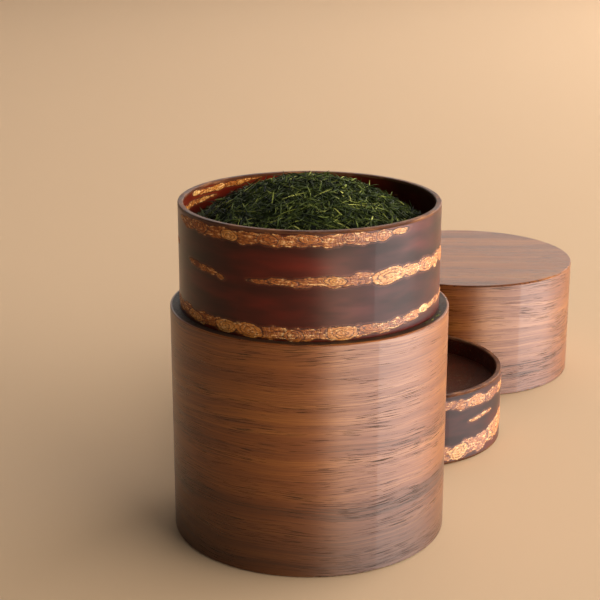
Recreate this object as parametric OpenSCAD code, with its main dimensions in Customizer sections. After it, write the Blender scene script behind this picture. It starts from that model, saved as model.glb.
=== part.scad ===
// Round tea caddy with a bark-clad inner sleeve, an inner lid and an outer lid.
// The body stands on z = 0 with its axis on Z. Both lids stand beside it on the same surface.

/* [Body] */
// Outside diameter of the body and of the outer lid
body_d = 80; // [72:1:96]
// Height of the body's outer wall, up to the shoulder
body_h = 67.6; // [50:0.2:110]
// Height of the sleeve above the shoulder
sleeve_rise = 30.2; // [24:0.2:36]
// Thickness of the base board
base_board_t = 4.4; // [3:0.1:6]

/* [Outer lid] */
// Height of the outer lid
lid_h = 42; // [40:0.2:52]
// Thickness of the lid's top board
lid_board_t = 3.8; // [2.4:0.1:4.5]

/* [Inner lid] */
// Height of the inner lid
inner_lid_h = 24; // [20:0.2:28]
// Depth of the dish in the inner lid's top
dish_depth = 6; // [4:0.2:8]
// Thickness of the inner lid's board
inner_board_t = 3; // [2:0.1:4]
// Height of the knob above the dish floor
knob_h = 8; // [6:0.2:10]
// Diameter of the knob's head
knob_d = 13; // [10:0.5:16]

/* [Sheets and fits] */
// Thickness of the walnut veneer
veneer_t = 0.6; // [0.4:0.1:0.8]
// Thickness of the cherry bark
bark_t = 0.4; // [0.3:0.1:0.6]
// Thickness of the sleeve's wound wood core
sleeve_core_t = 0.8; // [0.6:0.1:2]
// Radial gap between a lid and what it slides on
slide_gap = 0.04; // [0.02:0.01:0.2]

/* [Tea] */
// Height of the heap's top above the sleeve's rim
heap_rise = 6.4; // [2:0.1:10]
// Depth of the tea below the rim at the sleeve wall
heap_edge_depth = 8.3; // [5:0.1:14]

/* [Standing places] */
// Direction from the body in which the lids stand, in degrees from +X
row_angle = 67.2; // [0:0.2:90]
// Gap between the body and the inner lid
inner_lid_gap = 1.2; // [0.6:0.1:40]
// Gap between the inner lid and the outer lid
outer_lid_gap = 1.2; // [0.6:0.1:40]

/* [Hidden] */
$fn = 96;

walnut = [0.50, 0.29, 0.17];
dark_edge = [0.20, 0.14, 0.11];
bark = [0.26, 0.09, 0.07];
core_wood = [0.72, 0.56, 0.38];
tea_green = [0.13, 0.19, 0.09];

edge_round = 0.4;      // rounding of a rim's corners
edge_ring_t = 1.2;     // height of the shoulder ring and of the lid's rim
rim_t = 0.8;           // height of the edging on a bark-clad rim
inner_core_t = 1.0;    // wall of the inner lid's core
overlap = 1;           // how far a cutting shape runs past what it cuts

body_r = body_d / 2;
wall_r = body_r - veneer_t;
rim_z = body_h + sleeve_rise;
floor_z = veneer_t + base_board_t;

// The sleeve is set so that the lid's wall, which slides over it, is as thick as the shoulder.
shoulder_w = 2.8;
sleeve_r = body_r - shoulder_w;
sleeve_core_r = sleeve_r - bark_t;
sleeve_lining_r = sleeve_core_r - sleeve_core_t;
chamber_r = sleeve_lining_r - bark_t;
chamber_z = floor_z + bark_t;

lid_bore_r = sleeve_r + slide_gap;
lid_lining_r = lid_bore_r + bark_t;
lid_face_z = lid_h - veneer_t;
lid_board_z = lid_face_z - lid_board_t;
lid_ceiling_z = lid_board_z - bark_t;

plug_r = chamber_r - slide_gap;
plug_core_r = plug_r - bark_t;
plug_lining_r = plug_core_r - inner_core_t;
plug_bore_r = plug_lining_r - bark_t;
dish_z = inner_lid_h - dish_depth;
plug_board_top = dish_z - bark_t;
plug_board_z = plug_board_top - inner_board_t;
skirt_top = plug_board_z - bark_t;

knob_r = knob_d / 2;
knob_foot_r = 0.62 * knob_r;
knob_waist_r = 0.45 * knob_r;
knob_tenon_r = 0.35 * knob_r;
knob_neck_h = 0.45 * knob_h;
knob_widest_z = 0.68 * knob_h;
knob_steps = 10;

inner_lid_distance = body_r + plug_r + inner_lid_gap;
outer_lid_distance = inner_lid_distance + plug_r + body_r + outer_lid_gap;
inner_lid_place = inner_lid_distance * [cos(row_angle), sin(row_angle), 0];
outer_lid_place = outer_lid_distance * [cos(row_angle), sin(row_angle), 0];

tea_r = chamber_r - 0.1;
heap_steps = 16;
heap_power = 1.75;     // between a cone, 1, and a parabola, 2
function heap_z(r) = rim_z + heap_rise - (heap_rise + heap_edge_depth) * pow(r / tea_r, heap_power);

module tube(r_in, r_out, z_low, z_high) {
    translate([0, 0, z_low])
        difference() {
            cylinder(r = r_out, h = z_high - z_low);
            translate([0, 0, -overlap])
                cylinder(r = r_in, h = z_high - z_low + 2 * overlap);
        }
}

module disc(r, z_low, z_high) {
    translate([0, 0, z_low])
        cylinder(r = r, h = z_high - z_low);
}

// A turned ring whose outer corners are rounded at the top, at the foot or at both.
module turned_ring(r_in, r_out, z_low, z_high, round, top = true, foot = false) {
    side_low = foot ? z_low + round : z_low;
    side_high = top ? z_high - round : z_high;
    rotate_extrude() {
        translate([r_in, z_low])
            square([r_out - round - r_in, z_high - z_low]);
        translate([r_in, side_low])
            square([r_out - r_in, side_high - side_low]);
        if (top)
            translate([r_out - round, side_high])
                circle(r = round, $fn = 32);
        if (foot)
            translate([r_out - round, side_low])
                circle(r = round, $fn = 32);
    }
}

// A ring edging whose two upper corners are rounded.
module edging(r_in, r_out, z_low, z_high) {
    rotate_extrude() {
        translate([r_in, z_low])
            square([r_out - r_in, z_high - edge_round - z_low]);
        translate([r_in + edge_round, z_low])
            square([r_out - r_in - 2 * edge_round, z_high - z_low]);
        for (r = [r_in + edge_round, r_out - edge_round])
            translate([r, z_high - edge_round])
                circle(r = edge_round, $fn = 32);
    }
}

module at_outer_lid() {
    translate(outer_lid_place)
        children();
}

module at_inner_lid() {
    translate(inner_lid_place)
        children();
}

// ---- Body ----

module base_facing() {
    color(walnut)
        disc(wall_r, 0, veneer_t);
}

module base_board() {
    color(core_wood)
        disc(sleeve_core_r, veneer_t, floor_z);
}

module floor_bark() {
    color(bark)
        disc(chamber_r, floor_z, chamber_z);
}

module body_core() {
    color(core_wood)
        tube(sleeve_core_r, wall_r, veneer_t, body_h - edge_ring_t);
}

module body_veneer() {
    color(walnut)
        turned_ring(wall_r, body_r, 0, body_h, veneer_t / 2, top = true, foot = true);
}

module shoulder_ring() {
    color(dark_edge)
        tube(sleeve_core_r, wall_r, body_h - edge_ring_t, body_h);
}

module sleeve_core() {
    color(core_wood)
        tube(sleeve_lining_r, sleeve_core_r, floor_z, rim_z - rim_t);
}

module sleeve_bark() {
    color(bark)
        tube(sleeve_core_r, sleeve_r, body_h, rim_z - rim_t);
}

module sleeve_lining() {
    color(bark)
        tube(chamber_r, sleeve_lining_r, floor_z, rim_z - rim_t);
}

module sleeve_rim() {
    color(bark)
        edging(chamber_r, sleeve_r, rim_z - rim_t, rim_z);
}

module tea_leaves() {
    color(tea_green)
        rotate_extrude()
            polygon([
                [0, chamber_z],
                [tea_r, chamber_z],
                for (i = [heap_steps : -1 : 0])
                    let (r = tea_r * i / heap_steps)
                        [r, heap_z(r)],
            ]);
}

// ---- Outer lid ----

module lid_core() {
    color(core_wood)
        at_outer_lid()
            tube(lid_lining_r, wall_r, edge_ring_t, lid_board_z);
}

module lid_veneer() {
    color(walnut)
        at_outer_lid()
            turned_ring(wall_r, body_r, 0, lid_face_z, veneer_t / 2, top = false, foot = true);
}

module lid_rim() {
    color(dark_edge)
        at_outer_lid()
            tube(lid_bore_r, wall_r, 0, edge_ring_t);
}

module lid_lining() {
    color(bark)
        at_outer_lid()
            tube(lid_bore_r, lid_lining_r, edge_ring_t, lid_ceiling_z);
}

module lid_board() {
    color(core_wood)
        at_outer_lid()
            disc(wall_r, lid_board_z, lid_face_z);
}

module lid_top_veneer() {
    color(walnut)
        at_outer_lid()
            turned_ring(0, body_r, lid_face_z, lid_h, veneer_t / 2);
}

module lid_ceiling_bark() {
    color(bark)
        at_outer_lid()
            disc(lid_lining_r, lid_ceiling_z, lid_board_z);
}

// ---- Inner lid ----

module inner_lid_core() {
    color(core_wood)
        at_inner_lid()
            tube(plug_lining_r, plug_core_r, rim_t, inner_lid_h - rim_t);
}

module inner_lid_bark() {
    color(bark)
        at_inner_lid()
            tube(plug_core_r, plug_r, rim_t, inner_lid_h - rim_t);
}

module inner_lid_rim() {
    color(bark)
        at_inner_lid()
            edging(plug_bore_r, plug_r, inner_lid_h - rim_t, inner_lid_h);
}

module inner_lid_foot() {
    color(bark)
        at_inner_lid()
            translate([0, 0, rim_t])
                mirror([0, 0, 1])
                    edging(plug_bore_r, plug_r, 0, rim_t);
}

module inner_lid_dish_lining() {
    color(bark)
        at_inner_lid()
            tube(plug_bore_r, plug_lining_r, plug_board_top, inner_lid_h - rim_t);
}

module inner_lid_skirt_lining() {
    color(bark)
        at_inner_lid()
            tube(plug_bore_r, plug_lining_r, rim_t, plug_board_z);
}

module inner_lid_board() {
    color(core_wood)
        at_inner_lid()
            difference() {
                disc(plug_lining_r, plug_board_z, plug_board_top);
                disc(knob_tenon_r, plug_board_z - overlap, plug_board_top + overlap);
            }
}

module inner_lid_top_bark() {
    color(bark)
        at_inner_lid()
            difference() {
                disc(plug_bore_r, plug_board_top, dish_z);
                disc(knob_tenon_r, plug_board_top - overlap, dish_z + overlap);
            }
}

module inner_lid_under_bark() {
    color(bark)
        at_inner_lid()
            disc(plug_bore_r, skirt_top, plug_board_z);
}

// Turned knob: a tenon through the board, a waisted neck and a rounded head.
module inner_lid_knob() {
    color(walnut)
        at_inner_lid() {
            disc(knob_tenon_r, plug_board_z, dish_z);
            translate([0, 0, dish_z])
                rotate_extrude()
                    polygon([
                        [0, 0],
                        for (i = [0 : knob_steps])
                            let (t = i / knob_steps)
                                [knob_waist_r + (knob_foot_r - knob_waist_r) * pow(1 - t, 2),
                                    knob_neck_h * t],
                        for (i = [1 : 2 * knob_steps])
                            let (a = -90 + 90 * i / knob_steps)
                                [max(knob_r * cos(a), a < 0 ? knob_waist_r : 0),
                                    knob_widest_z + sin(a) * (a < 0
                                        ? knob_widest_z - knob_neck_h
                                        : knob_h - knob_widest_z)],
                    ]);
        }
}

base_facing();
base_board();
floor_bark();
body_core();
body_veneer();
shoulder_ring();
sleeve_core();
sleeve_bark();
sleeve_lining();
sleeve_rim();
tea_leaves();
lid_core();
lid_veneer();
lid_rim();
lid_lining();
lid_board();
lid_top_veneer();
lid_ceiling_bark();
inner_lid_core();
inner_lid_bark();
inner_lid_rim();
inner_lid_foot();
inner_lid_dish_lining();
inner_lid_skirt_lining();
inner_lid_board();
inner_lid_top_bark();
inner_lid_under_bark();
inner_lid_knob();
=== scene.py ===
import math
import random

import bpy
import numpy as np
from mathutils import Matrix, Vector


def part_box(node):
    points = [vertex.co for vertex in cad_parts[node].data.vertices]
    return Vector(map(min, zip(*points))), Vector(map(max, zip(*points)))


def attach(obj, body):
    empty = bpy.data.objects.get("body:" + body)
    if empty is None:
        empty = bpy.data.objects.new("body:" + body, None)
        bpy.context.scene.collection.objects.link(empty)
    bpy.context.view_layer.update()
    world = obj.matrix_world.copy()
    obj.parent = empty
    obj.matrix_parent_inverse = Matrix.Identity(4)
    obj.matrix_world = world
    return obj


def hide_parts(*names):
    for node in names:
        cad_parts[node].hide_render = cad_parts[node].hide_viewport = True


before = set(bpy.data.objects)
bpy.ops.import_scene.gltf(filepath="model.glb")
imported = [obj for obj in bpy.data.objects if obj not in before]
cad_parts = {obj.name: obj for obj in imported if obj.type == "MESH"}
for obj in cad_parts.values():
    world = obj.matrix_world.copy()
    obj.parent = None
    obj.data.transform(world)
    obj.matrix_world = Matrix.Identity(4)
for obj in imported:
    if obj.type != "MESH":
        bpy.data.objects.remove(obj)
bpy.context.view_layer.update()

# Looks of an open tea caddy: a walnut-veneered body, a sleeve clad in polished cherry bark and
# heaped with leaf tea, and its inner and outer lids standing beside it. Lengths are in metres.

MM = 0.001
WELD = 1e-6
FRONT = math.radians(-90)
SEED = 7


# ---- Measures taken from the frame ----

def ring_of(node):
    """Centre, outside radius, lowest and highest z of a turned CAD node."""
    low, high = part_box(node)
    centre = Vector(((low.x + high.x) / 2, (low.y + high.y) / 2, 0))
    return centre, (high.x - low.x) / 2, low.z, high.z


BODY_CENTRE, _, _, SHOULDER_Z = ring_of("body_veneer")
_, SLEEVE_R, _, RIM_Z = ring_of("sleeve_rim")
_, CHAMBER_R, _, CHAMBER_Z = ring_of("floor_bark")
PLUG_CENTRE, PLUG_R, _, _ = ring_of("inner_lid_rim")
TEA_TOP_Z = ring_of("tea_leaves")[3]
SLEEVE_CORE_R = ring_of("sleeve_core")[1]
LINING_R = ring_of("sleeve_lining")[1]
PLUG_CORE_R = ring_of("inner_lid_core")[1]


# ---- Modelling helpers ----

def deselect():
    bpy.ops.object.select_all(action="DESELECT")


def start(obj):
    """Makes obj the only selected object and the active one."""
    deselect()
    obj.select_set(True)
    bpy.context.view_layer.objects.active = obj


def edit(obj):
    """Opens obj in edit mode with everything selected."""
    start(obj)
    bpy.ops.object.mode_set(mode="EDIT")
    bpy.ops.mesh.select_mode(type="VERT")
    bpy.ops.mesh.select_all(action="SELECT")


def leave():
    bpy.ops.object.mode_set(mode="OBJECT")


def settle(obj, name):
    """Puts the object's place into its mesh, and names it."""
    start(obj)
    bpy.ops.object.transform_apply(location=True, rotation=True, scale=True)
    obj.name = name
    obj.data.name = name
    return obj


def fix_normals(obj):
    edit(obj)
    bpy.ops.mesh.remove_doubles(threshold=WELD)
    bpy.ops.mesh.normals_make_consistent(inside=False)
    leave()


def smooth(obj, angle=35):
    start(obj)
    bpy.ops.object.shade_smooth_by_angle(angle=math.radians(angle))


# ---- Node helpers ----

def add(tree, kind, inputs=None, **settings):
    """Adds a node, with its settings, and its inputs as values or links."""
    made = tree.nodes.new(kind)
    for key, value in settings.items():
        setattr(made, key, value)
    for key, value in (inputs or {}).items():
        socket = made.inputs[key]
        if isinstance(value, bpy.types.NodeSocket):
            tree.links.new(value, socket)
        else:
            socket.default_value = value
    return made


def maths(tree, operation, a, b=0.0):
    return add(tree, "ShaderNodeMath", {0: a, 1: b}, operation=operation).outputs[0]


def both(tree, a, share_a, b, share_b):
    """The sum of a and b, each times its share."""
    return maths(tree, "ADD", maths(tree, "MULTIPLY", a, share_a), maths(tree, "MULTIPLY", b, share_b))


def sway(tree, noise, size):
    """Noise moved to lie evenly round zero, times a size."""
    return maths(tree, "MULTIPLY", maths(tree, "SUBTRACT", noise, 0.5), size)


def spread(tree, value, low, high, to_low=0.0, to_high=1.0):
    """Maps a value's range onto another, with smooth ends."""
    return add(
        tree, "ShaderNodeMapRange",
        {"Value": value, "From Min": low, "From Max": high, "To Min": to_low, "To Max": to_high},
        interpolation_type="SMOOTHSTEP",
    ).outputs["Result"]


def blend_colours(tree, share, a, b):
    """Colour a, with a share of colour b over it."""
    made = add(tree, "ShaderNodeMix", {0: share}, data_type="RGBA")
    for socket, value in ((made.inputs[6], a), (made.inputs[7], b)):
        if isinstance(value, bpy.types.NodeSocket):
            tree.links.new(value, socket)
        else:
            socket.default_value = value
    return made.outputs[2]


def ramp(tree, value, stops):
    """A colour ramp through (place, colour) stops."""
    made = add(tree, "ShaderNodeValToRGB", {"Fac": value})
    elements = made.color_ramp.elements
    while len(elements) < len(stops):
        elements.new(0.5)
    for element, (place, colour) in zip(elements, stops):
        element.position = place
        element.color = (*colour, 1)
    return made.outputs["Color"]


def stretched(tree, vector, scale):
    return add(tree, "ShaderNodeMapping", {"Vector": vector, "Scale": scale}).outputs["Vector"]


def cloud(tree, place, scale, detail, roughness):
    """Noise, whose grains are finer where the scale is larger."""
    return add(
        tree, "ShaderNodeTexNoise",
        {"Vector": stretched(tree, place, scale), "Scale": 1.0, "Detail": detail, "Roughness": roughness},
    ).outputs["Fac"]


def new_group(name, inputs, outputs):
    """A shader node group with named sockets, and its input and output nodes."""
    group = bpy.data.node_groups.new(name, "ShaderNodeTree")
    for socket_name, kind, default in inputs:
        socket = group.interface.new_socket(socket_name, in_out="INPUT", socket_type=kind)
        if default is not None:
            socket.default_value = default
    for socket_name, kind in outputs:
        group.interface.new_socket(socket_name, in_out="OUTPUT", socket_type=kind)
    return group, add(group, "NodeGroupInput"), add(group, "NodeGroupOutput")


def new_material(name):
    material = bpy.data.materials.new(name)
    material.use_nodes = True
    tree = material.node_tree
    return material, tree, tree.nodes["Principled BSDF"]


COLOUR, NUMBER, PLACE = "NodeSocketColor", "NodeSocketFloat", "NodeSocketVector"
PORE_BROWN = (0.022, 0.008, 0.004, 1)
CORK_BROWN = (0.060, 0.016, 0.006, 1)
# Pale cork streaks, which also stand in for painted highlights on the cork.
PALE_CORK_AND_HIGHLIGHT = (0.80, 0.49, 0.20, 1)
CORK_BORDER = (0.030, 0.009, 0.005, 1)
TINGE_RED = (0.20, 0.045, 0.014, 1)


# ---- Shared effects ----

def grain_group():
    """Wood grain along x and y, with z across it, in millimetres."""
    group, into, out = new_group(
        "wood_grain",
        [("Grain Place", PLACE, None), ("Dark", COLOUR, (0.1, 0.04, 0.02, 1)),
         ("Middle", COLOUR, (0.3, 0.14, 0.07, 1)), ("Light", COLOUR, (0.5, 0.28, 0.15, 1)),
         ("Pores", NUMBER, 1.0), ("Fade", NUMBER, 1.0)],
        [("Color", COLOUR), ("Roughness", NUMBER), ("Height", NUMBER)],
    )
    place = into.outputs["Grain Place"]
    # The lines waver a little along their length.
    drift = cloud(group, place, (0.016, 0.016, 0.030), 2.0, 0.5)
    shift = add(group, "ShaderNodeCombineXYZ", {2: sway(group, drift, 9.0)}).outputs[0]
    place = add(group, "ShaderNodeVectorMath", {0: place, 1: shift}, operation="ADD").outputs[0]
    bands = cloud(group, place, (0.004, 0.004, 0.075), 2.0, 0.5)
    rings = cloud(group, place, (0.007, 0.007, 0.36), 3.0, 0.6)
    fibres = cloud(group, place, (0.022, 0.022, 3.4), 5.0, 0.75)
    tone = maths(group, "ADD", both(group, bands, 0.55, rings, 0.45), sway(group, fibres, 0.80))
    dark, middle, light = (into.outputs[key] for key in ("Dark", "Middle", "Light"))
    colour = blend_colours(group, spread(group, tone, 0.31, 0.48), dark, middle)
    colour = blend_colours(group, spread(group, tone, 0.47, 0.66), colour, light)
    # Open pores: short dark dashes along the grain, which gather in patches.
    dashes = cloud(group, place, (0.13, 0.13, 7.0), 1.0, 0.5)
    patches = cloud(group, place, (0.028, 0.028, 0.16), 2.0, 0.5)
    level = spread(group, patches, 0.40, 0.60, 0.69, 0.56)
    depth = maths(group, "SUBTRACT", dashes, level)
    pores = maths(group, "MULTIPLY", spread(group, depth, 0.0, 0.05), into.outputs["Pores"])
    colour = blend_colours(group, maths(group, "MULTIPLY", pores, 0.85), colour, PORE_BROWN)
    # Painted shade: where the lit share is below 1, the colour sinks towards pore brown.
    colour = blend_colours(group, into.outputs["Fade"], PORE_BROWN, colour)
    group.links.new(colour, out.inputs["Color"])
    rough = maths(group, "ADD", maths(group, "MULTIPLY", fibres, 0.14), 0.25)
    rough = maths(group, "SUBTRACT", rough, maths(group, "MULTIPLY", pores, 0.12))
    group.links.new(rough, out.inputs["Roughness"])
    group.links.new(fibres, out.inputs["Height"])
    return group


def bark_group():
    """Polished cherry bark with cork lenticels where the knot input says.

    The place is in millimetres. The knot's x is how deep inside the cork a point lies in millimetres,
    y is the distance from the nearest oval's middle, 1 at its edge, and z is that oval's own tone.
    """
    group, into, out = new_group(
        "cherry_bark",
        [("Bark Place", PLACE, None), ("Knot", PLACE, None)],
        [("Color", COLOUR), ("Roughness", NUMBER), ("Height", NUMBER)],
    )
    place = into.outputs["Bark Place"]
    cover, far, own = add(group, "ShaderNodeSeparateXYZ", {0: into.outputs["Knot"]}).outputs
    brushed = cloud(group, place, (0.07, 0.07, 5.5), 3.0, 0.7)
    broad = cloud(group, place, (0.030, 0.030, 0.12), 3.0, 0.55)
    streaks = cloud(group, place, (0.09, 0.09, 0.9), 4.0, 0.65)
    skin = ramp(group, both(group, broad, 0.93, streaks, 0.07), [
        (0.36, (0.017, 0.0022, 0.0014)),
        (0.47, (0.040, 0.0040, 0.0020)),
        (0.57, (0.072, 0.0062, 0.0028)),
        (0.72, (0.130, 0.0100, 0.0040)),
    ])
    crumble = cloud(group, place, (1.1, 1.1, 1.5), 4.0, 0.65)
    fibre = cloud(group, place, (0.36, 0.36, 1.9), 4.0, 0.65)
    bend = cloud(group, place, (0.55, 0.55, 0.75), 2.0, 0.5)
    # The strip between the ovals: torn cork that runs along the band.
    strip = ramp(group, both(group, fibre, 0.7, crumble, 0.3), [
        (0.34, (0.060, 0.013, 0.003)),
        (0.45, (0.22, 0.055, 0.008)),
        (0.56, (0.42, 0.138, 0.020)),
        (0.70, (0.70, 0.36, 0.11)),
    ])
    # The ovals: rings one inside the other, bent by noise, with thin dark lines between them.
    bent = maths(group, "ADD", far, sway(group, bend, 0.55))
    layer = maths(group, "FRACT", maths(group, "MULTIPLY", bent, 3.1))
    line = maths(group, "ABSOLUTE", maths(group, "SUBTRACT", layer, 0.5))
    line = spread(group, line, 0.30, 0.45)
    own_light = ramp(group, maths(group, "ADD", own, sway(group, crumble, 0.9)), [
        (0.10, (0.21, 0.048, 0.007)),
        (0.40, (0.40, 0.120, 0.016)),
        (0.70, (0.54, 0.21, 0.040)),
        (0.95, (0.66, 0.35, 0.10)),
    ])
    ovals = blend_colours(group, maths(group, "MULTIPLY", line, 0.72), own_light, CORK_BROWN)
    within = spread(group, bent, 0.92, 1.02, 1.0, 0.0)
    collar = maths(group, "ABSOLUTE", maths(group, "SUBTRACT", bent, 1.0))
    collar = spread(group, collar, 0.03, 0.11, 0.70, 0.0)
    cork = blend_colours(group, within, strip, ovals)
    cork = blend_colours(group, collar, cork, CORK_BROWN)
    # Pale flecks: partly the cork's own pale streaks, partly a painted highlight.
    flecks_and_highlights = maths(group, "ADD", fibre, sway(group, crumble, 0.5))
    cork = blend_colours(group, spread(group, flecks_and_highlights, 0.56, 0.66, 0.0, 0.75), cork, PALE_CORK_AND_HIGHLIGHT)
    veins = add(
        group, "ShaderNodeTexVoronoi",
        {"Vector": stretched(group, place, (0.42, 0.42, 1.1)), "Scale": 1.0},
        feature="DISTANCE_TO_EDGE",
    ).outputs["Distance"]
    veins = maths(group, "ADD", veins, maths(group, "MULTIPLY", crumble, 0.14))
    cork = blend_colours(group, spread(group, veins, 0.08, 0.13, 0.62, 0.0), cork, CORK_BROWN)
    # The border: a thin dark line, and a red tinge in the skin beside it.
    ragged = maths(group, "ADD", cover, sway(group, crumble, 0.7))
    inside = spread(group, ragged, 0.02, 0.10)
    tinge = spread(group, ragged, -0.55, 0.0, 0.0, 0.34)
    edge = maths(group, "ABSOLUTE", maths(group, "SUBTRACT", ragged, 0.07))
    edge = spread(group, edge, 0.04, 0.20, 0.80, 0.0)
    skin = blend_colours(group, tinge, skin, TINGE_RED)
    colour = blend_colours(group, inside, skin, cork)
    colour = blend_colours(group, edge, colour, CORK_BORDER)
    group.links.new(colour, out.inputs["Color"])
    polish = maths(group, "ADD", maths(group, "MULTIPLY", brushed, 0.08), 0.26)
    rough = maths(group, "ADD", polish, maths(group, "MULTIPLY", inside, 0.22))
    group.links.new(rough, out.inputs["Roughness"])
    lumps = maths(group, "ADD", crumble, maths(group, "MULTIPLY", fibre, 0.6))
    cork_height = maths(group, "SUBTRACT", lumps, maths(group, "MULTIPLY", line, 0.5))
    group.links.new(both(group, cork_height, inside, brushed, 0.012), out.inputs["Height"])
    return group


GRAIN = grain_group()
BARK = bark_group()


# ---- Materials ----

def finish_material(tree, shader, surface, bump, gloss):
    """Feeds a surface's colour, roughness and height to the shader. The bump is in metres."""
    colour, roughness, height = surface
    tree.links.new(colour, shader.inputs["Base Color"])
    tree.links.new(roughness, shader.inputs["Roughness"])
    raised = add(tree, "ShaderNodeBump", {"Height": height, "Distance": bump})
    tree.links.new(raised.outputs["Normal"], shader.inputs["Normal"])
    shader.inputs["Specular IOR Level"].default_value = gloss


def object_place(tree, turn=(0, 0, 0), shift=(0, 0, 0)):
    """Object coordinates in millimetres, turned and shifted."""
    coordinates = add(tree, "ShaderNodeTexCoord").outputs["Object"]
    return add(
        tree, "ShaderNodeMapping",
        {"Vector": coordinates, "Scale": (1000, 1000, 1000), "Rotation": turn, "Location": shift},
    ).outputs["Vector"]


def wood(name, dark, middle, light, turn=(0, 0, 0), shift=(0, 0, 0), pores=1.0, shaded_foot=0):
    """Wood. With a shaded foot, its lowest millimetres, up to that height, are darkened by painted shade.
    """
    material, tree, shader = new_material(name)
    effect = add(tree, "ShaderNodeGroup", node_tree=GRAIN)
    tree.links.new(object_place(tree, turn, shift), effect.inputs["Grain Place"])
    if shaded_foot:
        # Painted shade: the colour darkens towards the foot of the wall.
        height = add(tree, "ShaderNodeSeparateXYZ", {0: object_place(tree)}).outputs[2]
        tree.links.new(spread(tree, height, 0, shaded_foot, 0.38, 1.0), effect.inputs["Fade"])
    effect.inputs["Dark"].default_value = (*dark, 1)
    effect.inputs["Middle"].default_value = (*middle, 1)
    effect.inputs["Light"].default_value = (*light, 1)
    effect.inputs["Pores"].default_value = pores
    finish_material(tree, shader, effect.outputs, 0.01 * MM, gloss=0.5)
    return material


def bark(name, turn=(0, 0, 0), gloss=0.28):
    material, tree, shader = new_material(name)
    effect = add(tree, "ShaderNodeGroup", node_tree=BARK)
    tree.links.new(object_place(tree, turn), effect.inputs["Bark Place"])
    knot = add(tree, "ShaderNodeAttribute", attribute_name="knot").outputs["Vector"]
    tree.links.new(knot, effect.inputs["Knot"])
    finish_material(tree, shader, effect.outputs, 0.12 * MM, gloss)
    return material


def edge_material():
    """Dark-stained end grain, with fine turning lines."""
    material, tree, shader = new_material("stained_edge")
    place = object_place(tree)
    lines = cloud(tree, place, (1.3, 1.3, 3.0), 3.0, 0.6)
    spots = cloud(tree, place, (0.2, 0.2, 0.6), 3.0, 0.6)
    colour = ramp(tree, both(tree, lines, 0.6, spots, 0.4), [
        (0.35, (0.012, 0.006, 0.004)),
        (0.55, (0.034, 0.017, 0.010)),
        (0.72, (0.080, 0.042, 0.025)),
    ])
    rough = spread(tree, lines, 0.3, 0.7, 0.45, 0.62)
    finish_material(tree, shader, (colour, rough, lines), 0.05 * MM, gloss=0.3)
    return material


def rim_material():
    """The bark's cut edge: brown layers, worn paler."""
    material, tree, shader = new_material("bark_edge")
    place = object_place(tree)
    layers = cloud(tree, place, (0.25, 0.25, 4.0), 3.0, 0.6)
    wear = cloud(tree, place, (0.12, 0.12, 0.3), 4.0, 0.65)
    colour = ramp(tree, both(tree, layers, 0.45, wear, 0.55), [
        (0.36, (0.032, 0.010, 0.005)),
        (0.52, (0.095, 0.032, 0.013)),
        (0.68, (0.260, 0.115, 0.046)),
    ])
    rough = spread(tree, wear, 0.3, 0.7, 0.36, 0.52)
    finish_material(tree, shader, (colour, rough, layers), 0.04 * MM, gloss=0.35)
    return material


def tea_material(name, bed=False):
    """Rolled green leaf: each leaf has its own tone, and a fine mottle over it."""
    material, tree, shader = new_material(name)
    place = object_place(tree)
    mottle = cloud(tree, place, (0.9, 0.9, 0.9), 3.0, 0.6)
    if bed:
        # Painted shade: the bed under the loose leaves keeps to the darkest tones, as the shade between the
        # leaves.
        tone = maths(tree, "MULTIPLY", mottle, 0.35)
    else:
        own = add(tree, "ShaderNodeAttribute", attribute_name="leaf_tone").outputs["Fac"]
        tone = maths(tree, "ADD", own, sway(tree, mottle, 0.25))
    colour = ramp(tree, tone, [
        (0.05, (0.005, 0.007, 0.003)),
        (0.35, (0.016, 0.023, 0.006)),
        (0.62, (0.052, 0.068, 0.013)),
        (0.84, (0.155, 0.175, 0.032)),
        (0.97, (0.340, 0.345, 0.085)),
    ])
    rough = spread(tree, mottle, 0.3, 0.7, 0.55, 0.75)
    finish_material(tree, shader, (colour, rough, mottle), 0.1 * MM, gloss=0.3)
    return material


WALNUT = ((0.064, 0.0165, 0.003), (0.160, 0.041, 0.006), (0.26, 0.086, 0.014))
PALE_WOOD = ((0.35, 0.22, 0.12), (0.55, 0.38, 0.22), (0.68, 0.50, 0.32))
ALONG_X = (math.radians(90), 0, 0)

# The body's lowest 34 millimetres carry painted shade.
body_walnut = wood("body_walnut", *WALNUT, shaded_foot=34)
lid_walnut = wood("lid_walnut", *WALNUT, shift=(40, 25, 90))
top_walnut = wood("top_walnut", *WALNUT, turn=ALONG_X, shift=(0, 30, 0))
base_walnut = wood("base_walnut", *WALNUT, turn=ALONG_X)
core_wood = wood("core_wood", *PALE_WOOD, turn=ALONG_X, pores=0.2)
sleeve_bark = bark("sleeve_bark")
disc_bark = bark("disc_bark", turn=ALONG_X, gloss=0.25)
stained_edge = edge_material()
bark_edge = rim_material()
leaf_tea = tea_material("leaf_tea")
# The tea bed's material carries painted shade.
shaded_tea_bed = tea_material("tea_bed", bed=True)

PAINTED_NODES = [
    (core_wood, ("base_board", "body_core", "sleeve_core", "lid_core", "lid_board",
                 "inner_lid_core", "inner_lid_board")),
    (body_walnut, ("body_veneer",)),
    (lid_walnut, ("lid_veneer",)),
    (top_walnut, ("lid_top_veneer", "inner_lid_knob")),
    (base_walnut, ("base_facing",)),
    (stained_edge, ("shoulder_ring", "lid_rim")),
    (bark_edge, ("sleeve_rim", "inner_lid_rim", "inner_lid_foot")),
    (disc_bark, ("floor_bark", "lid_lining", "lid_ceiling_bark", "inner_lid_dish_lining",
                 "inner_lid_skirt_lining", "inner_lid_top_bark", "inner_lid_under_bark")),
]


def paint(obj, material):
    obj.data.materials.clear()
    obj.data.materials.append(material)


for node_material, node_names in PAINTED_NODES:
    for node_name in node_names:
        paint(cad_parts[node_name], node_material)


# ---- Bark wraps with raised lenticel bands ----

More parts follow.
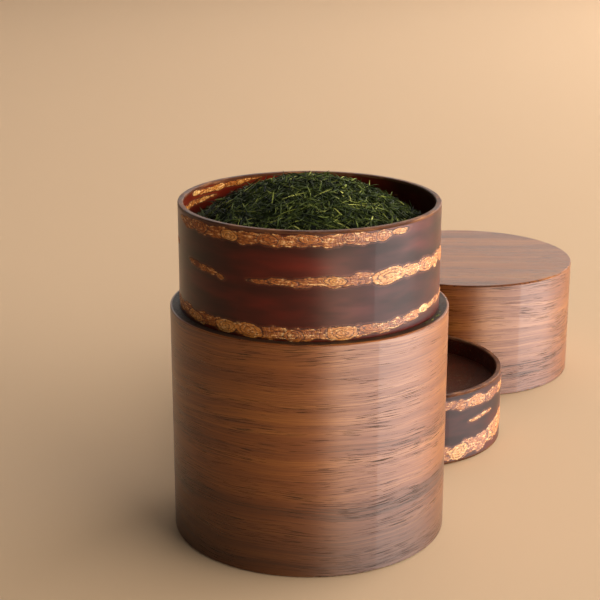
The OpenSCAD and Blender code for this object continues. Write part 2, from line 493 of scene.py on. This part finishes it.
class Band:
    """A lenticel band, by the angle from the front in degrees and by height in millimetres.

    start and end are its two tips, heights are its middle line at them and halfway, and thick is
    its half height in the middle. It is a strip of cork with oval knots along it. A higher blunt
    keeps its height for longer towards the tips, and strip is the strip's share of that height.
    """

    def __init__(self, start, end, heights, thick, blunt=4.0, strip=0.74):
        self.start, self.end = start, end
        self.heights, self.thick = heights, thick
        self.blunt, self.strip = blunt, strip

    def line(self, along):
        first, centre, last = self.heights
        return centre + along * (last - first) / 2 + along**2 * ((first + last) / 2 - centre)

    def taper(self, along):
        return np.clip(1 - np.abs(along) ** self.blunt, 0, 1) ** 0.6

    def knots(self, half_arc):
        """Ovals along the band: place, half length, half height, offset and tone, in millimetres."""
        chance = random.Random(round(self.start * 7 + self.thick * 31))
        found = []
        here = -half_arc + chance.uniform(0.3, 1.2)
        while here < half_arc - 1:
            share = float(self.taper(here / half_arc))
            long = chance.uniform(0.9, 2.6) * self.thick * (0.5 + 0.5 * share)
            tall = chance.uniform(0.55, 1.04) * self.thick * max(share, 0.35)
            offset = chance.uniform(-0.2, 0.2) * self.thick
            found.append((here + long, long, tall, offset, chance.betavariate(2, 2)))
            here += 2 * long + chance.choice((-0.3, 0.1, 0.8, 2.6)) * self.thick
        return found

    def measure(self, angle, height, radius_mm):
        """How deep inside the cork each point lies, its distance from an oval, and its oval's tone."""
        middle, half = (self.start + self.end) / 2, (self.end - self.start) / 2
        turned = (angle - middle + 180) % 360 - 180
        along = turned / half
        arc = np.radians(turned) * radius_mm
        rise = height - self.line(along) - 0.10 * self.thick * np.sin(arc * 0.55 + self.start)
        wave = 1 + 0.13 * np.sin(arc * 0.8 + self.end) + 0.08 * np.sin(arc * 1.9 + self.start)
        depth = self.thick * self.strip * self.taper(along) * wave - np.abs(rise)
        depth = np.where(np.abs(along) < 1, depth, -2.0)
        nearest = np.full_like(depth, 2.0)
        tone = np.full_like(depth, 0.5)
        for place, long, tall, offset, own in self.knots(math.radians(half) * radius_mm):
            far = np.sqrt(((arc - place) / long) ** 2 + ((rise - offset) / tall) ** 2)
            tone = np.where(far < nearest, own, tone)
            nearest = np.minimum(nearest, far)
            depth = np.maximum(depth, (1 - far) * tall)
        return depth, nearest, tone


KNOT_LUMP = 1.6 * MM
KNOT_RISE = 0.26 * MM
KNOT_SINK = 0.15

SLEEVE_H = (RIM_Z - SHOULDER_Z) / MM
SLEEVE_BANDS = [
    Band(-73, 38, (SLEEVE_H - 2.4, SLEEVE_H - 2.7, SLEEVE_H - 2.3), 2.0, 9, 0.86),
    Band(-63, -39, (SLEEVE_H - 12.8, SLEEVE_H - 13.4, SLEEVE_H - 14.4), 1.3, 3),
    Band(-27, 122, (SLEEVE_H - 14.3, SLEEVE_H - 13.5, SLEEVE_H - 14.0), 2.5, 2.6, 0.70),
    Band(-112, 50, (3.6, 2.1, 2.7), 2.1, 5, 0.84),
    Band(36, 118, (3.4, 4.4, 3.6), 1.4, 3),
    Band(-84, -77, (SLEEVE_H - 10, SLEEVE_H - 10, SLEEVE_H - 10), 1.2),
    Band(95, 205, (6.0, 8.0, 5.0), 2.2, 3),
    Band(150, 262, (20.0, 21.5, 19.0), 2.3, 3),
    Band(188, 240, (12.5, 13.0, 12.0), 1.2),
]
LINING_H = RIM_Z / MM
LINING_BANDS = [
    Band(203, 252, (LINING_H - 0.8, LINING_H - 1.9, LINING_H - 1.7), 1.2, 4),
    Band(230, 286, (LINING_H - 4.2, LINING_H - 4.2, LINING_H - 4.8), 1.1, 3),
    Band(132, 152, (LINING_H - 4.6, LINING_H - 4.8, LINING_H - 4.4), 0.9),
    Band(-40, 60, (LINING_H - 5.0, LINING_H - 3.6, LINING_H - 5.0), 1.2),
]
PLUG_BANDS = [
    Band(10, 92, (20.6, 19.6, 19.8), 2.4, 4),
    Band(14, 100, (3.2, 5.4, 9.0), 3.9, 4),
    Band(38, 60, (13.4, 13.8, 14.2), 1.0),
    Band(120, 250, (17.0, 15.0, 18.5), 2.1, 3),
    Band(150, 330, (6.0, 4.5, 6.5), 2.0, 3),
    Band(270, 345, (14.0, 13.0, 15.0), 1.6),
]


def bark_wrap(name, node, body, centre, face_r, back_r, low, bands, arcs, rows, crowd=1):
    """A sheet of bark bent into a ring, with its lenticels raised.

    The bark's face is at face_r and its back at back_r. Band heights count from low. A crowd above 1
    puts more of the sheet's rows near its top.
    """
    foot, top = (corner.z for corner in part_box(node))
    deselect()
    bpy.ops.mesh.primitive_grid_add(x_subdivisions=arcs, y_subdivisions=rows, size=2)
    obj = settle(bpy.context.object, name)
    flat = np.empty(len(obj.data.vertices) * 3)
    obj.data.vertices.foreach_get("co", flat)
    flat = flat.reshape(-1, 3)
    turn = flat[:, 0] * math.pi * (1 if face_r > back_r else -1)
    height = top - (top - foot) * ((1 - flat[:, 1]) / 2) ** crowd
    bent = np.stack([
        centre.x + face_r * np.cos(turn + FRONT), centre.y + face_r * np.sin(turn + FRONT), height], 1)
    obj.data.vertices.foreach_set("co", bent.ravel())
    weights = mark_knots(obj, np.degrees(turn), (height - low) / MM, face_r / MM, bands)
    raise_knots(obj, weights)
    seam = obj.modifiers.new("seam", "WELD")
    seam.merge_threshold = WELD
    wall = obj.modifiers.new("wall", "SOLIDIFY")
    wall.thickness = abs(face_r - back_r)
    wall.offset = -1
    start(obj)
    for modifier in [m.name for m in obj.modifiers]:
        bpy.ops.object.modifier_apply(modifier=modifier)
    smooth(obj)
    paint(obj, sleeve_bark)
    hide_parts(node)
    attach(obj, body)


def mark_knots(obj, angle, height, radius_mm, bands):
    """Stores the deepest band's measures for the material. Returns each point's share of the rise."""
    found = [band.measure(angle, height, radius_mm) for band in bands]
    best = np.argmax([depth for depth, _, _ in found], axis=0)
    depth, far, tone = (np.choose(best, [f[i] for f in found]) for i in range(3))
    depth = np.clip(depth, -1.5, 1.5)
    mark = obj.data.attributes.new("knot", "FLOAT_VECTOR", "POINT")
    mark.data.foreach_set("vector", np.stack([depth, far, tone], 1).ravel())
    dome = 0.55 + 0.45 * np.clip(1 - far**2, 0, 1)
    return np.clip(depth / 0.7, 0, 1) * dome


def raise_knots(obj, weights):
    """Raises the knots a little above the polished skin, with an uneven surface."""
    group = obj.vertex_groups.new(name="knots")
    for index in np.flatnonzero(weights > 0.02):
        group.add([int(index)], float(weights[index]), "REPLACE")
    crumbs = bpy.data.textures.new(f"{obj.name}_crumble", "CLOUDS")
    crumbs.noise_scale = KNOT_LUMP
    crumbs.noise_depth = 2
    raised = obj.modifiers.new("raised", "DISPLACE")
    raised.texture = crumbs
    raised.texture_coords = "LOCAL"
    raised.vertex_group = "knots"
    raised.mid_level = KNOT_SINK
    raised.strength = KNOT_RISE


bark_wrap("sleeve_bark_wrap", "sleeve_bark", "caddy", BODY_CENTRE, SLEEVE_R, SLEEVE_CORE_R,
          SHOULDER_Z, SLEEVE_BANDS, 560, 72)
bark_wrap("sleeve_lining_wrap", "sleeve_lining", "caddy", BODY_CENTRE, CHAMBER_R, LINING_R,
          0, LINING_BANDS, 440, 64, crowd=3)
bark_wrap("inner_lid_bark_wrap", "inner_lid_bark", "inner_lid", PLUG_CENTRE, PLUG_R, PLUG_CORE_R,
          0, PLUG_BANDS, 440, 50)


# ---- Tea ----

HEAP_EDGE = 8.3 * MM
HEAP_POWER = 1.75
TEA_R = CHAMBER_R - 0.3 * MM
BED_DEPTH = 0.9 * MM
BED_STEPS = 40
LEAF_ROOM = 0.4 * MM
LEAF_SECTIONS = 6
LEAVES_IN_A_LAYER = 3200


def heap_z(radius):
    """Height of the heap's surface at a distance from the axis."""
    rise = TEA_TOP_Z - RIM_Z
    return TEA_TOP_Z - LEAF_ROOM - (rise + HEAP_EDGE) * (min(radius, TEA_R) / TEA_R) ** HEAP_POWER


def tea_bed():
    """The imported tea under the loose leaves: a spun heap with a lumpy top."""
    deselect()
    bpy.ops.mesh.primitive_plane_add(size=1 * MM)
    obj = bpy.context.object
    edit(obj)
    bpy.ops.mesh.merge(type="CENTER")
    bpy.ops.transform.translate(value=(0, 0, CHAMBER_Z))
    profile = [Vector((TEA_R, 0, CHAMBER_Z))]
    for i in range(BED_STEPS, -1, -1):
        radius = TEA_R * i / BED_STEPS
        profile.append(Vector((radius, 0, heap_z(radius) - BED_DEPTH)))
    here = Vector((0, 0, CHAMBER_Z))
    for place in profile:
        bpy.ops.mesh.extrude_vertices_move(TRANSFORM_OT_translate={"value": place - here})
        here = place
    bpy.ops.mesh.select_all(action="SELECT")
    bpy.ops.mesh.spin(steps=120, angle=math.tau, center=(0, 0, 0), axis=(0, 0, 1))
    leave()
    fix_normals(obj)
    lumps = bpy.data.textures.new("tea_lumps", "CLOUDS")
    lumps.noise_scale = 3 * MM
    surface = [
        v.index for v in obj.data.vertices
        if v.co.z > CHAMBER_Z + 0.1 * MM and math.hypot(v.co.x, v.co.y) < TEA_R * 0.98]
    obj.vertex_groups.new(name="surface").add(surface, 1.0, "REPLACE")
    uneven = obj.modifiers.new("uneven", "DISPLACE")
    uneven.texture = lumps
    uneven.texture_coords = "LOCAL"
    uneven.vertex_group = "surface"
    uneven.strength = 1.2 * MM
    start(obj)
    bpy.ops.object.modifier_apply(modifier=uneven.name)
    settle(obj, "tea_bed")
    smooth(obj, 60)
    paint(obj, shaded_tea_bed)
    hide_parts("tea_leaves")
    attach(obj, "caddy")


def leaf_shape(length, width, thick, bend, twist):
    """One rolled leaf along x: a four-sided section extruded, narrowed, bent and twisted."""
    deselect()
    bpy.ops.mesh.primitive_circle_add(
        vertices=4, radius=width / 2, fill_type="NGON", rotation=(0, math.radians(90), 0))
    obj = bpy.context.object
    bpy.ops.object.transform_apply(rotation=True)
    edit(obj)
    bpy.ops.transform.resize(value=(1, 0.25, 0.25 * thick / width))
    here, size = Vector((0, 0, 0)), 0.25
    for i in range(1, LEAF_SECTIONS + 1):
        t = i / LEAF_SECTIONS
        tip = 1 if i < LEAF_SECTIONS else 0.5
        wanted = max(math.sin(math.pi * min(t * 0.92 + 0.06, 1.0)) ** 0.6 * tip, 0.12)
        place = Vector((length * t, bend * math.sin(math.pi * t), bend * 0.5 * math.sin(2.4 * math.pi * t)))
        bpy.ops.mesh.extrude_region_move(TRANSFORM_OT_translate={"value": place - here})
        share = wanted / size
        bpy.ops.transform.resize(value=(1, share, share), center_override=place)
        bpy.ops.transform.rotate(value=twist / LEAF_SECTIONS, orient_axis="X", center_override=place)
        here, size = place, wanted
    leave()
    fix_normals(obj)
    return obj


def shape_data(obj):
    """Vertices, centred, and faces of a leaf shape, which is then deleted."""
    points = np.array([v.co for v in obj.data.vertices])
    points -= (points.max(0) + points.min(0)) / 2
    faces = [tuple(p.vertices) for p in obj.data.polygons]
    start(obj)
    bpy.ops.object.delete()
    return points, faces


LEAF_SHAPES = [
    shape_data(leaf_shape(7.0 * MM, 0.52 * MM, 0.30 * MM, 0.25 * MM, 2.6)),
    shape_data(leaf_shape(5.4 * MM, 0.44 * MM, 0.28 * MM, -0.35 * MM, 1.5)),
    shape_data(leaf_shape(8.4 * MM, 0.42 * MM, 0.26 * MM, 0.45 * MM, 4.0)),
    shape_data(leaf_shape(3.4 * MM, 0.66 * MM, 0.24 * MM, 0.25 * MM, 0.8)),
]


def scatter(name, leaves):
    """One piece made of copies of the leaf shapes, each placed by its own matrix and tone."""
    points, faces, tones = [], [], []
    for shape, matrix, tone in leaves:
        base, rings = LEAF_SHAPES[shape]
        turned = base @ np.array(matrix.to_3x3()).T + np.array(matrix.translation)
        offset = len(tones)
        points.append(turned)
        tones.extend([tone] * len(base))
        faces.extend([tuple(i + offset for i in face) for face in rings])
    mesh = bpy.data.meshes.new(name)
    mesh.from_pydata(np.concatenate(points).tolist(), [], faces)
    mark = mesh.attributes.new("leaf_tone", "FLOAT", "POINT")
    mark.data.foreach_set("value", tones)
    obj = bpy.data.objects.new(name, mesh)
    bpy.context.collection.objects.link(obj)
    smooth(obj, 50)
    paint(obj, leaf_tea)
    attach(obj, "caddy")


def heap_leaf(chance, lift_low, lift_high, bright):
    """A leaf that lies on the heap at a random place and turn."""
    radius = TEA_R * 0.985 * math.sqrt(chance.random())
    angle = chance.uniform(0, math.tau)
    step = 0.5 * MM
    slope = math.atan2(heap_z(radius + step) - heap_z(max(radius - step, 0)), 2 * step)
    shape = chance.choices(range(4), (5, 5, 3, 2))[0]
    reach = np.ptp(LEAF_SHAPES[shape][0][:, 0]) / 2
    room = max(TEA_R - radius, 0.2 * MM)
    yaw = chance.uniform(0, math.tau)
    # A leaf that would reach the sleeve lies along it instead.
    if reach * abs(math.cos(yaw)) > room:
        yaw = math.pi / 2 + chance.uniform(-0.25, 0.25) + (math.pi if chance.random() < 0.5 else 0)
        radius = min(radius, TEA_R - 0.9 * MM)
    pitch = chance.gauss(0, 0.16)
    # A few leaves stand up out of the heap.
    if chance.random() < 0.06:
        pitch = chance.uniform(-0.6, 0.6)
    grow = chance.uniform(0.75, 1.15)
    place = Vector((radius * math.cos(angle), radius * math.sin(angle),
                    heap_z(radius) + chance.uniform(lift_low, lift_high)))
    matrix = (
        Matrix.Translation(place)
        @ Matrix.Rotation(angle, 4, "Z")
        @ Matrix.Rotation(-slope, 4, "Y")
        @ Matrix.Rotation(yaw, 4, "Z")
        @ Matrix.Rotation(pitch, 4, "Y")
        @ Matrix.Rotation(chance.uniform(0, math.tau), 4, "X")
        @ Matrix.Scale(grow, 4)
    )
    tone = chance.gauss(0.42, 0.17)
    if chance.random() < bright:
        tone += chance.uniform(0.2, 0.5)
    return shape, matrix, min(max(tone, 0), 1)


tea_bed()
chance = random.Random(SEED)
for layer_name, lift_low, lift_high, bright in (
        ("tea_lower_leaves", -0.9 * MM, -0.1 * MM, 0.04), ("tea_upper_leaves", -0.3 * MM, 0.5 * MM, 0.10)):
    scatter(layer_name, [heap_leaf(chance, lift_low, lift_high, bright) for _ in range(LEAVES_IN_A_LAYER)])


def shoulder_crumbs():
    """A few broken leaves left on the shoulder, by their angles from the front in degrees."""
    chance = random.Random(SEED + 1)
    leaves = []
    for angle in (56, 58, 62, 66, 68, 70, 71, 74, 33, -12, 150, 201):
        turn = FRONT + math.radians(angle)
        radius = SLEEVE_R + chance.uniform(0.7, 2.0) * MM
        grow = chance.uniform(0.16, 0.42)
        place = Vector((radius * math.cos(turn), radius * math.sin(turn), SHOULDER_Z + 0.12 * MM))
        matrix = (
            Matrix.Translation(place)
            @ Matrix.Rotation(turn + math.pi / 2 + chance.uniform(-0.9, 0.9), 4, "Z")
            @ Matrix.Scale(grow, 4)
        )
        leaves.append((chance.choice((0, 1, 3)), matrix, chance.uniform(0.3, 0.95)))
    scatter("shoulder_crumbs", leaves)


shoulder_crumbs()


# ---- Stage, camera and light ----

def stage_material(name, colour):
    material, _, shader = new_material(name)
    shader.inputs["Base Color"].default_value = (*colour, 1)
    shader.inputs["Roughness"].default_value = 0.9
    shader.inputs["Specular IOR Level"].default_value = 0.1
    return material


def flat_stage(name, place, turn, material):
    deselect()
    bpy.ops.mesh.primitive_plane_add(size=STAGE_SIZE, location=place, rotation=turn)
    obj = bpy.context.object
    obj.name = name
    paint(obj, material)


STAGE_SIZE = 6
UPRIGHT = (math.radians(90), 0, 0)
pale_floor = stage_material("pale_floor", (0.47, 0.325, 0.20))
pale_wall = stage_material("pale_wall", (0.72, 0.71, 0.70))
flat_stage("floor", (0, 0, -0.2 * MM), (0, 0, 0), pale_floor)
flat_stage("backdrop", (0, 1.6, 0.6), UPRIGHT, pale_wall)


def look_at(obj, target):
    obj.rotation_euler = (target - obj.location).to_track_quat("-Z", "Y").to_euler()


PITCH = math.radians(17.1)
DISTANCE = 0.432
TARGET = Vector((0, 0, 0.0678))
ASIDE = Vector((-0.0027, 0, 0))

camera = bpy.data.objects.new("camera", bpy.data.cameras.new("camera"))
bpy.context.collection.objects.link(camera)
camera.data.lens = 90
camera.data.sensor_width = 36
camera.data.clip_start = 0.01
camera.location = TARGET + DISTANCE * Vector((0, -math.cos(PITCH), math.sin(PITCH)))
look_at(camera, TARGET + ASIDE)
bpy.context.scene.camera = camera
bpy.context.scene.view_settings.view_transform = "Standard"


# The gloss-only lamps draw the satin sheen on the upright walls, and nothing on what lies flat.
# They are below the floor, where a bright table's reflection comes from, so only the walls block them.
upright_walls = bpy.data.collections.new("upright_walls")
for wall_name in ("sleeve_bark_wrap", "inner_lid_bark_wrap"):
    upright_walls.objects.link(bpy.data.objects[wall_name])
for wall_name in ("body_veneer", "lid_veneer"):
    upright_walls.objects.link(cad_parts[wall_name])


LAMP_DISTANCE = 2.0


def soft_light(name, azimuth, elevation, size, power, colour, diffuse=True, gloss=True):
    """A rectangular lamp that faces the caddy. Azimuth 0 is the camera's side, 90 is its right."""
    lamp = bpy.data.objects.new(name, bpy.data.lights.new(name, "AREA"))
    bpy.context.collection.objects.link(lamp)
    a, e = math.radians(azimuth), math.radians(elevation)
    lamp.location = TARGET + LAMP_DISTANCE * Vector(
        (math.sin(a) * math.cos(e), -math.cos(a) * math.cos(e), math.sin(e)))
    look_at(lamp, TARGET)
    lamp.data.shape = "RECTANGLE"
    lamp.data.size, lamp.data.size_y = size
    lamp.data.energy = power
    lamp.data.color = colour
    lamp.visible_diffuse = diffuse
    lamp.visible_glossy = gloss
    if not diffuse:
        lamp.light_linking.receiver_collection = upright_walls
        lamp.light_linking.blocker_collection = upright_walls


soft_light("window", 66, 18, (2.7, 1.2), 94, (1.0, 0.94, 0.86), gloss=False)
soft_light("sheen", 73, -12, (3.5, 0.8), 215, (1.0, 0.98, 0.96), diffuse=False)
soft_light("key", 25, -12, (0.5, 0.8), 24, (1.0, 0.64, 0.42), diffuse=False)
soft_light("side", 128, 14, (2.0, 1.0), 92, (0.98, 0.97, 1.0), gloss=False)
soft_light("ceiling", 150, 70, (1.7, 1.7), 12, (0.98, 0.98, 1.0))

world = bpy.data.worlds.new("studio")
bpy.context.scene.world = world
world.use_nodes = True
sky = world.node_tree.nodes["Background"]
sky.inputs["Color"].default_value = (0.86, 0.88, 0.92, 1)
sky.inputs["Strength"].default_value = 0.09
